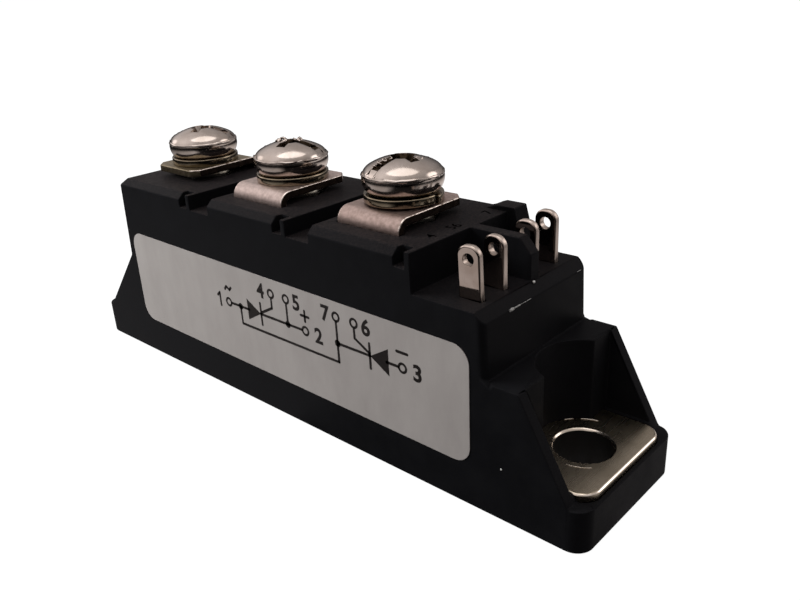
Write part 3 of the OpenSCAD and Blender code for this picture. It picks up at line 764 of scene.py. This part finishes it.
@dataclass
class Contacts:
    """Strips, tabs and the screws, washers and nuts on them."""

    shop: Workshop
    strip_tins: tuple[Finish, ...] = (Finish.AGED_TIN, Finish.FRESH_TIN, Finish.TIN_STRIP)
    strip_edge_mm: float = 0.17
    tab_edge_mm: float = 0.04
    tab_round_mm: float = 0.22
    tab_arc_mm: float = 1.25
    tab_hole_drop_mm: float = 1.5
    tab_hole_clear_mm: float = 0.9
    stances: dict[int, Stance] = field(default_factory=lambda: {
        4: Stance(0.0, 3.0, -2.0), 5: Stance(0.05, -6.0), 6: Stance(0.15), 7: Stance(0.25)})
    ring_edge_mm: float = 0.16
    screw_edge_mm: float = 0.03
    screw_merge_mm: float = 0.04
    screw_x_mm: Point3 = (-25.0, -5.0, 15.0)
    screw_turns_deg: Point3 = (32.0, 20.0, 80.0)
    screw_reach_mm: float = 8.0
    head_r_mm: float = 4.925
    wide_z_mm: float = 1.5
    slot_floor_mm: float = 2.35
    slot_half_mm: float = 0.64
    slot_rise_mm: float = 0.62
    slot_end_mm: float = 4.05
    drive_r_mm: float = 4.1
    drive_top_mm: float = 3.2
    ridge_mm: float = 0.22
    ridge_z_mm: float = 2.05
    ridge_r_mm: float = 4.72
    ridge_dent_mm: float = 0.16
    burr_dent: float = 0.45
    burrs_on: tuple[Burr, ...] = (
        Burr(1, -1.2, -0.2, 3.92, 0.5), Burr(1, 0.55, 1.35, 3.88, 0.3), Burr(1, 0.0, 1.0, 3.9, 0.22),
        Burr(1, -1.8, -0.5, 3.8, 0.25), Burr(2, 1.66, 0.65, 3.68, 0.26), Burr(2, 2.2, 0.9, 3.6, 0.18),
        Burr(2, -0.9, -1.06, 3.74, 0.2), Burr(2, -1.04, -1.85, 3.68, 0.22),
        Burr(2, -1.18, -2.64, 3.46, 0.22), Burr(2, -1.3, -3.33, 3.22, 0.18))

    def build(self) -> None:
        """Makes every metal contact."""
        for number, tin in enumerate(self.strip_tins, 1):
            node = f"terminal_{number}"
            strip = self.shop.merged_copy(node, f"strip_{number}")
            self.shop.soften(strip, node, self.strip_edge_mm, 3)
            self.shop.dress(strip, tin, Finish.SHEARED, Finish.WORN_RIM)
            for face in strip.data.polygons:
                side = abs(face.normal.x)
                # Sides facing along the module get painted shade; their slanted upper rims get a painted
                # highlight.
                face.material_index = 1 if side > 0.8 else 2 if side > 0.25 and face.normal.z > 0.3 else 0
            self.shop.hold(strip, "tinned_copper", node)
        for number, stance in self.stances.items():
            self.blade(number, stance)
        self.screws()
        rings = self.shop.merged_copy("spring_washers", "split_rings")
        self.shop.soften(rings, "spring_washers", self.ring_edge_mm, 3, 40.0)
        self.shop.dress(rings, Finish.SPRING)
        self.shop.hold(rings, "spring_steel", "spring_washers")
        self.shop.dress(self.shop.nodes["captive_nuts"], Finish.ZINC)

    def blade(self, number: int, stance: Stance) -> None:
        """Makes a tab with rounded outer edges and sets it as it stands in the photograph.

        Args:
            number: Number of the tab.
            stance: How it stands.
        """
        node = f"tab_{number}"
        low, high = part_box(node)
        middle = (low + high) / 2
        hole = Vector((middle.x, high.z - self.tab_hole_drop_mm * MM))
        blade = self.shop.merged_copy(node, f"blade_{number}")

        def outline(a: Vector, b: Vector) -> bool:
            """Says whether an edge runs round one of the two faces.

            Args:
                a: One end of the edge.
                b: Its other end.

            Returns:
                Whether the edge is rounded.
            """
            upright = any(abs(a.x - x) + abs(b.x - x) < 0.02 * MM for x in (low.x, high.x))
            from_hole = min((Vector((p.x, p.z)) - hole).length for p in (a, b))
            arc = (min(a.z, b.z) > high.z - self.tab_arc_mm * MM and (a - b).length < 1.0 * MM
                   and from_hole > self.tab_hole_clear_mm * MM)
            return abs(a.y - b.y) < 0.01 * MM and (upright or arc)

        self.shop.round_edges(blade, outline, self.tab_round_mm, 5)
        self.shop.soften(blade, node, self.tab_edge_mm, 2)
        bpy.ops.mesh.customdata_custom_splitnormals_clear()
        for face in blade.data.polygons:
            face.use_smooth = abs(face.normal.y) < 0.999
        bpy.ops.object.mode_set(mode="EDIT")
        bpy.ops.mesh.select_all(action="SELECT")
        bpy.ops.transform.rotate(value=math.radians(-stance.turn_deg), orient_axis="Z",
                                 center_override=middle)
        bpy.ops.transform.rotate(value=math.radians(-stance.lean_deg), orient_axis="Y",
                                 center_override=(middle.x, middle.y, low.z))
        bpy.ops.transform.translate(value=(0, 0, stance.lift_mm * MM))
        bpy.ops.object.mode_set(mode="OBJECT")
        self.shop.dress(blade, Finish.TIN_TAB, Finish.TAB_SIDE)
        for face in blade.data.polygons:
            face.material_index = int(abs(face.normal.y) < 0.6)
        self.shop.hold(blade, "tinned_brass", node)

    def screws(self) -> None:
        """Makes the screws, with shallow ends to their slots and painted shade in the drives of the second
        and third.
        """
        screws = self.shop.merged_copy("terminal_screws", "pan_screws")
        self.shop.dress(screws, Finish.SCREW_NICKEL, Finish.DRIVE)
        bpy.ops.object.mode_set(mode="EDIT")
        bpy.ops.mesh.select_all(action="SELECT")
        bpy.ops.mesh.remove_doubles(threshold=self.screw_merge_mm * MM)
        bpy.ops.object.mode_set(mode="OBJECT")
        heads = [self.shallow_slot(screws, axis, turn)
                 for axis, turn in zip(self.screw_x_mm, self.screw_turns_deg)]
        self.shop.soften(screws, "terminal_screws", self.screw_edge_mm, 2, 40.0)
        for face in screws.data.polygons:
            axis, foot = min(heads, key=lambda head: abs(head[0] - face.center.x / MM))
            reach = math.hypot(face.center.x / MM - axis, face.center.y / MM)
            level = face.center.z / MM - foot
            wall = face.normal.z < 0.5 and level > 1.0
            floor = face.normal.z > 0.95 and level < self.drive_top_mm
            # The drives of the second and third screws get painted shade.
            drive_shaded = axis != self.screw_x_mm[0]
            face.material_index = int(drive_shaded and reach < self.drive_r_mm and level > 0.5 and (wall or floor))
        self.shop.hold(screws, "nickel_steel", "terminal_screws")
        self.ridges(heads)
        self.burrs(heads)

    def shallow_slot(self, screws: bpy.types.Object, axis: float, turn_deg: float) -> Point2:
        """Raises the floor of a screw's slot and draws its ends in.

        Args:
            screws: The three screws.
            axis: X of the screw's axis.
            turn_deg: Direction of its slot.

        Returns:
            X of the head's axis and Z of its underside.
        """
        around = [v for v in screws.data.vertices if abs(v.co.x / MM - axis) < self.screw_reach_mm]
        widest = max(v.co.z for v in around
                     if math.hypot(v.co.x / MM - axis, v.co.y / MM) > self.head_r_mm - 0.02)
        foot = widest / MM - self.wide_z_mm
        along = Vector((math.cos(math.radians(turn_deg)), math.sin(math.radians(turn_deg))))
        for vertex in around:
            place = Vector((vertex.co.x / MM - axis, vertex.co.y / MM))
            run = place.dot(along)
            level = vertex.co.z / MM - foot
            if abs(level - self.slot_floor_mm) < 0.03 and abs(place.cross(along)) < self.slot_half_mm:
                short = max(-self.slot_end_mm, min(self.slot_end_mm, run)) - run
                vertex.co += Vector((*(along * short), self.slot_rise_mm)) * MM
        return axis, foot

    def ridges(self, heads: list[Point2]) -> None:
        """Rolls the dented ridge round each head where its dome meets its side.

        Args:
            heads: X of each head's axis and Z of its underside.
        """
        rings = []
        for seed, (axis, foot) in enumerate(heads):
            self.shop.clear_selection()
            bpy.ops.mesh.primitive_torus_add(
                location=(axis * MM, 0, (foot + self.ridge_z_mm) * MM), major_segments=44, minor_segments=8,
                major_radius=self.ridge_r_mm * MM, minor_radius=self.ridge_mm * MM)
            rings.append(self.shop.dented(self.ridge_dent_mm, seed))
        ridge = self.shop.join(rings, "head_ridges")
        self.shop.dress(ridge, Finish.SCREW_NICKEL)
        self.shop.hold(ridge, "nickel_steel")

    def burrs(self, heads: list[Point2]) -> None:
        """Sets the torn metal on the rims of the second and third drive.

        Args:
            heads: X of each head's axis and Z of its underside.
        """
        crumbs = []
        for seed, burr in enumerate(self.burrs_on):
            axis, foot = heads[burr.head]
            self.shop.clear_selection()
            bpy.ops.mesh.primitive_torus_add(
                location=((axis + burr.x_mm) * MM, burr.y_mm * MM, (foot + burr.z_mm) * MM),
                rotation=(0.5, 0.3, seed), major_segments=14, minor_segments=6,
                major_radius=burr.size_mm * MM, minor_radius=burr.size_mm * 0.5 * MM)
            crumbs.append(self.shop.dented(burr.size_mm * self.burr_dent, seed + 5))
        torn = self.shop.join(crumbs, "drive_burrs")
        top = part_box("terminal_screws")[1].z
        for vertex in torn.data.vertices:
            vertex.co.z = min(vertex.co.z, top)
        self.shop.dress(torn, Finish.SCREW_NICKEL)
        self.shop.hold(torn, "nickel_steel")


@dataclass
class Inside:
    """The pieces that the housing hides."""

    shop: Workshop
    finishes: dict[Finish, tuple[str, ...]] = field(default_factory=lambda: {
        Finish.ALUMINA: ("ceramic_tile_1", "ceramic_tile_2"),
        Finish.COPPER: ("pad_common", "pad_minus", "bridge_strap"),
        Finish.SILICON: ("thyristor_chip_1", "thyristor_chip_2"),
        Finish.CONTACT: ("cathode_disc_1", "cathode_disc_2"),
        Finish.WIRE: ("lead_4", "lead_5", "lead_6", "lead_7"),
        Finish.GEL: ("gel_fill",),
    })

    def build(self) -> None:
        """Gives each inner CAD node its finish."""
        for finish, nodes in self.finishes.items():
            for node in nodes:
                self.shop.dress(self.shop.nodes[node], finish)


@dataclass
class LabelSheet:
    """The grey foil on the front and the circuit drawn on it. Places are X and Z in millimetres."""

    shop: Workshop
    foil_edge_mm: float = 0.02
    line_mm: float = 0.38
    ring_r_mm: float = 0.7
    ring_line_mm: float = 0.32
    dot_r_mm: float = 0.48
    digit_mm: float = 2.0
    bold_mm: float = 0.085
    ink_mm: float = 0.012
    main_z: float = 14.35
    upper_z: float = 17.82
    lower_z: float = 11.82
    face_y: float = field(init=False)
    marks: list[bpy.types.Object] = field(init=False, default_factory=list)

    def build(self) -> None:
        """Makes the foil and its print."""
        foil = self.shop.merged_copy("label", "label_sheet")
        self.face_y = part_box("label")[0].y + self.ink_mm * MM
        for vertex in foil.data.vertices:
            vertex.co.y = max(vertex.co.y, self.face_y)
        self.shop.soften(foil, "label", self.foil_edge_mm, 2)
        self.shop.dress(foil, Finish.FOIL)
        self.shop.hold(foil, "label_foil", "label")
        self.draw()
        drawing = self.shop.join(self.marks, "circuit_print")
        self.shop.dress(drawing, Finish.INK)
        self.shop.hold(drawing, "label_foil")

    def draw(self) -> None:
        """Draws the two thyristors, their wires, rings and numbers."""
        main, upper, lower = self.main_z, self.upper_z, self.lower_z
        for centre in ((-9.1, main), (0.35, upper), (3.3, upper), (6.6, main), (12.4, upper), (15.4, upper),
                       (22.8, main)):
            self.ring(centre)
        numbers = {"4": (-1.75, upper), "5": (5.25, upper), "2": (9.0, main),
                   "7": (10.6, upper), "6": (17.35, upper), "3": (25.0, main)}
        for digit, centre in numbers.items():
            self.place(self.shop.flat_text(digit, self.digit_mm, self.bold_mm, self.ink_mm), centre)
        for centre in ((-6.5, main), (3.27, main), (12.38, main)):
            self.dot(centre)
        gap = self.ring_r_mm - 0.06
        lines = [
            [(-9.1 + gap, main), (-4.6, main)], [(-2.2, main), (6.6 - gap, main)],
            [(-6.5, main), (-6.5, lower), (12.38, lower), (12.38, upper - gap)],
            [(12.38, main), (17.8, main)], [(20.4, main), (22.8 - gap, main)],
            [(-2.1, main + 0.2), (0.3, 15.8), (0.34, upper - gap)], [(3.27, main), (3.3, upper - gap)],
            [(17.7, main + 0.3), (15.42, 15.9), (15.4, upper - gap)],
            [(-2.12, 12.8), (-2.12, 15.9)], [(17.76, 12.7), (17.76, 15.9)],
            [(22.05, 16.27), (23.6, 16.27)],
            [(6.02, 16.38), (7.42, 16.38)], [(6.72, 15.68), (6.72, 17.08)],
            [(-9.65, 16.15), (-9.3, 16.6), (-8.65, 16.2), (-8.3, 16.6)],
            [(-11.55, main + 0.5), (-11.05, main + 0.95), (-11.05, main - 0.95)],
        ]
        for points in lines:
            for start, end in zip(points, points[1:]):
                self.stroke(start, end)
        self.arrow((-4.95, main), (-2.2, main), 1.52)
        self.arrow((20.7, main), (17.8, main), 1.72)

    def disc(self, corners: int, radius_mm: float) -> bpy.types.Object:
        """Adds a flat disc as the start of a mark.

        Args:
            corners: Number of its corners.
            radius_mm: Radius to the corners.

        Returns:
            The disc, lying round the origin.
        """
        self.shop.clear_selection()
        bpy.ops.mesh.primitive_circle_add(vertices=corners, radius=radius_mm * MM, fill_type="NGON")
        return bpy.context.object

    def place(self, mark: bpy.types.Object, centre: Point2, turn: float = 0.0) -> None:
        """Stands a flat mark up on the label's face and keeps it.

        Args:
            mark: Flat mark, lying in X and Y round the origin.
            centre: Place on the label.
            turn: Turn in the label's plane, in radians.
        """
        x, z = centre
        mark.matrix_world = (Matrix.Translation((x * MM, self.face_y, z * MM))
                             @ Matrix.Rotation(math.pi / 2, 4, "X") @ Matrix.Rotation(turn, 4, "Z"))
        self.shop.settle(mark)
        self.marks.append(mark)

    def thicken(self) -> None:
        """Gives the flat mark in edit mode its film of ink."""
        bpy.ops.mesh.select_all(action="SELECT")
        bpy.ops.mesh.extrude_region_move(TRANSFORM_OT_translate={"value": (0, 0, self.ink_mm * MM)})
        bpy.ops.mesh.select_all(action="SELECT")
        bpy.ops.mesh.normals_make_consistent(inside=False)
        bpy.ops.object.mode_set(mode="OBJECT")

    def stroke(self, start: Point2, end: Point2) -> None:
        """Draws a line with round ends.

        Args:
            start: First end on the label.
            end: Second end on the label.
        """
        run = Vector(end) - Vector(start)
        mark = self.disc(16, self.line_mm / 2)
        self.shop.open_mesh(mark, Part.VERT, lambda vertex: vertex.co.x > 1e-7)
        bpy.ops.transform.translate(value=(run.length * MM, 0, 0))
        self.thicken()
        self.place(mark, start, math.atan2(run.y, run.x))

    def ring(self, centre: Point2) -> None:
        """Draws a ring for a connection point.

        Args:
            centre: Place on the label.
        """
        mark = self.disc(32, self.ring_r_mm)
        self.shop.open_mesh(mark, Part.FACE, lambda face: True)
        bpy.ops.mesh.inset(thickness=self.ring_line_mm * MM)
        bpy.ops.mesh.delete(type="FACE")
        self.thicken()
        self.place(mark, centre)

    def dot(self, centre: Point2) -> None:
        """Draws a junction dot.

        Args:
            centre: Place on the label.
        """
        mark = self.disc(20, self.dot_r_mm)
        bpy.ops.object.mode_set(mode="EDIT")
        self.thicken()
        self.place(mark, centre)

    def arrow(self, base: Point2, tip: Point2, half_mm: float) -> None:
        """Draws a thyristor's filled triangle.

        Args:
            base: Middle of the triangle's base.
            tip: Its point.
            half_mm: Half the length of the base.
        """
        run = Vector(tip) - Vector(base)
        mark = self.disc(3, 1.0)
        corners = ((0.0, half_mm), (0.0, -half_mm), (run.length, 0.0))
        for vertex, (x, y) in zip(mark.data.vertices, corners):
            vertex.co = (x * MM, y * MM, 0)
        bpy.ops.object.mode_set(mode="EDIT")
        self.thicken()
        self.place(mark, base, math.atan2(run.y, run.x))


@dataclass(frozen=True)
class Zone:
    """Part of the room that metal mirrors, full towards one direction and fading away from it."""

    way: Point3
    start: float
    full: float
    level: float


@dataclass
class Studio:
    """Camera, floor, light and surroundings."""

    shop: Workshop
    eye_m: Point3 = (0.07636, -0.06649, 0.05584)
    ahead: Point3 = (-0.632, 0.668, -0.393)
    right: Point3 = (0.740, 0.671, -0.050)
    lens_mm: float = 35.56
    floor_m: float = 30.0
    floor_back: Point3 = (0.2, 0.98, 0.0)
    eye_way: Point3 = (0.74, -0.67, 0.0)
    fill: float = 0.45
    fill_tint: Point3 = (1.0, 0.94, 0.93)
    window_tint: Point3 = (0.97, 1.0, 0.98)
    ceiling_tint: Point3 = (1.0, 0.985, 0.985)
    darkest: float = 0.02
    shade: Zone = Zone((0.687, -0.727, -0.8), 0.3, 0.9, 0.4)
    window: Zone = Zone((-0.8, -0.6, 0.0), 0.1, 0.8, 0.6)
    backlight: Zone = Zone((0.687, 0.727, -0.6), 0.4, 1.0, 0.6)
    pane: Zone = Zone((-0.911, -0.228, 0.335), 0.965, 0.985, 1.0)
    rear_pane: Zone = Zone((0.551, 0.702, 0.451), 0.95, 0.98, 2.0)

    def build(self) -> None:
        """Sets the camera, the floor and the light."""
        self.camera()
        self.floor()
        self.surroundings()
        self.lamp("ceiling_light", (-0.04, 0.04, 1.05), 0.9, 2.6, self.ceiling_tint, True)
        self.lamp("window_left", (-0.18, -0.12, 0.12), 0.14, 0.74, self.window_tint, False)
        bpy.context.scene.view_settings.view_transform = "Standard"

    def camera(self) -> None:
        """Stands the camera where the photograph was taken."""
        ahead = Vector(self.ahead).normalized()
        right = Vector(self.right)
        right = (right - ahead * right.dot(ahead)).normalized()
        up = right.cross(ahead)
        data = bpy.data.cameras.new("camera")
        data.lens = self.lens_mm
        data.sensor_width = 36.0
        data.clip_start = 0.001
        camera = bpy.data.objects.new("camera", data)
        bpy.context.scene.collection.objects.link(camera)
        axes = Matrix((right, up, -ahead)).transposed()
        camera.matrix_world = Matrix.Translation(self.eye_m) @ axes.to_4x4()
        bpy.context.scene.camera = camera

    def floor(self) -> None:
        """Lays the pale floor.

        The camera sees it white with a soft shadow. Mirrors see a pale sheet under the module that is dark
        further off and towards the camera.
        """
        self.shop.clear_selection()
        bpy.ops.mesh.primitive_plane_add(size=self.floor_m)
        floor = bpy.context.object
        floor.name = "floor"
        material = new_material("pale_floor")
        tree = material.node_tree
        path = add_node(tree, "ShaderNodeLightPath")
        mirrored = add_node(tree, "ShaderNodeMath", links={0: path.outputs["Is Glossy Ray"],
                                                           1: path.outputs["Is Transmission Ray"]},
                            operation="MAXIMUM")
        where = add_node(tree, "ShaderNodeTexCoord").outputs["Object"]
        backwards = add_node(tree, "ShaderNodeVectorMath", {1: self.floor_back}, {0: where},
                             operation="DOT_PRODUCT")
        pale = add_node(tree, "ShaderNodeMapRange",
                        {"From Min": 0.02, "From Max": 0.06, "To Min": 0.5, "To Max": 0.85},
                        {"Value": backwards.outputs["Value"]})
        reach = add_node(tree, "ShaderNodeVectorMath", links={0: where}, operation="LENGTH")
        sheet = add_node(tree, "ShaderNodeMapRange",
                         {"From Min": 0.08, "From Max": 0.18, "To Min": 1.0, "To Max": 0.04},
                         {"Value": reach.outputs["Value"]})
        outwards = add_node(tree, "ShaderNodeVectorMath", links={0: where}, operation="NORMALIZE")
        towards_eye = add_node(tree, "ShaderNodeVectorMath", {1: self.eye_way},
                               {0: outwards.outputs["Vector"]}, operation="DOT_PRODUCT")
        shade = add_node(tree, "ShaderNodeMapRange",
                         {"From Min": 0.75, "From Max": 0.93, "To Min": 1.0, "To Max": 0.03},
                         {"Value": towards_eye.outputs["Value"]})
        seen = pale.outputs[0]
        for limit in (sheet, shade):
            seen = add_node(tree, "ShaderNodeMath", links={0: seen, 1: limit.outputs[0]},
                            operation="MULTIPLY").outputs[0]
        level = add_node(tree, "ShaderNodeMath", {1: 0.97}, {0: path.outputs["Is Camera Ray"]},
                         operation="MULTIPLY")
        matt = add_node(tree, "ShaderNodeBsdfDiffuse", {"Color": (0.1, 0.1, 0.1, 1.0)})
        glow = add_node(tree, "ShaderNodeEmission", {"Color": (1.0, 1.0, 1.0, 1.0)},
                        {"Strength": level.outputs[0]})
        white = add_node(tree, "ShaderNodeAddShader", links={0: matt.outputs[0], 1: glow.outputs[0]})
        image = add_node(tree, "ShaderNodeEmission", {"Color": (*self.fill_tint, 1.0)}, {"Strength": seen})
        either = add_node(tree, "ShaderNodeMixShader",
                          links={0: mirrored.outputs[0], 1: white.outputs[0], 2: image.outputs[0]})
        add_node(tree, "ShaderNodeOutputMaterial", links={"Surface": either.outputs[0]})
        floor.data.materials.append(material)

    def surroundings(self) -> None:
        """Makes the room.

        The camera sees it white, and the object gets an even fill. Mirrors see a room that is pale above and
        on the left, and dark low down behind the camera.
        """
        world = bpy.data.worlds.new("studio")
        bpy.context.scene.world = world
        world.use_nodes = True
        tree = world.node_tree
        tree.nodes.clear()
        path = add_node(tree, "ShaderNodeLightPath")
        where = add_node(tree, "ShaderNodeTexCoord").outputs["Generated"]
        axes = add_node(tree, "ShaderNodeSeparateXYZ", links={0: where})
        height = add_node(tree, "ShaderNodeMapRange", {"To Min": 0.05, "To Max": 0.72},
                          {"Value": axes.outputs["Z"]})
        sill = add_node(tree, "ShaderNodeMapRange", {"From Min": 0.1, "From Max": 0.3},
                        {"Value": axes.outputs["Z"]})
        room = height.outputs[0]
        for zone in (self.rear_pane, self.window, self.backlight, self.pane, self.shade):
            facing = add_node(tree, "ShaderNodeVectorMath", {1: zone.way}, {0: where},
                              operation="DOT_PRODUCT")
            share = add_node(tree, "ShaderNodeMapRange",
                             {"From Min": zone.start, "From Max": zone.full, "To Max": zone.level},
                             {"Value": facing.outputs["Value"]}).outputs[0]
            if zone is self.window:
                share = add_node(tree, "ShaderNodeMath", links={0: share, 1: sill.outputs[0]},
                                 operation="MULTIPLY").outputs[0]
            room = add_node(tree, "ShaderNodeMath", links={0: room, 1: share},
                            operation="SUBTRACT" if zone is self.shade else "ADD").outputs[0]
        room = add_node(tree, "ShaderNodeMath", {1: self.darkest}, {0: room}, operation="MAXIMUM").outputs[0]
        fill = add_node(tree, "ShaderNodeMath", {1: self.fill}, {0: path.outputs["Is Diffuse Ray"]},
                        operation="MULTIPLY")
        mirrored = add_node(tree, "ShaderNodeMath", links={0: path.outputs["Is Glossy Ray"],
                                                           1: path.outputs["Is Transmission Ray"]},
                            operation="MAXIMUM")
        level = add_node(tree, "ShaderNodeMath", links={0: room, 1: mirrored.outputs[0], 2: fill.outputs[0]},
                         operation="MULTIPLY_ADD")
        tinted = add_node(tree, "ShaderNodeBackground", {"Color": (*self.fill_tint, 1.0)},
                          {"Strength": level.outputs[0]})
        white = add_node(tree, "ShaderNodeBackground", {"Color": (1.0, 1.0, 1.0, 1.0), "Strength": 1.0})
        sky = add_node(tree, "ShaderNodeMixShader",
                       links={0: path.outputs["Is Camera Ray"], 1: tinted.outputs[0], 2: white.outputs[0]})
        add_node(tree, "ShaderNodeOutputWorld", links={"Surface": sky.outputs[0]})

    def lamp(self, name: str, place: Point3, size_m: float, watts: float, tint: Point3,
             mirrored: bool) -> None:
        """Hangs a round soft lamp that faces the module.

        Args:
            name: Name of the lamp.
            place: Its middle.
            size_m: Its width.
            watts: Its power.
            tint: Colour of its light.
            mirrored: Whether metal mirrors it.
        """
        data = bpy.data.lights.new(name, "AREA")
        data.shape = "DISK"
        data.size = size_m
        data.energy = watts
        data.color = tint
        lamp = bpy.data.objects.new(name, data)
        bpy.context.scene.collection.objects.link(lamp)
        lamp.location = place
        lamp.rotation_euler = (-Vector(place)).to_track_quat("-Z", "Y").to_euler()
        lamp.visible_camera = False
        lamp.visible_glossy = mirrored


def main() -> None:
    """Builds the module's pieces in order and sets the scene."""
    logging.basicConfig(level=logging.INFO, format="%(name)s %(message)s")
    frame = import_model()
    shop = Workshop(frame)
    for assembly in (Body, Contacts, Inside, LabelSheet, Studio):
        assembly(shop).build()
        LOG.info("built %s", assembly.__name__)
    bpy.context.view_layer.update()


if __name__ == "__main__":
    main()
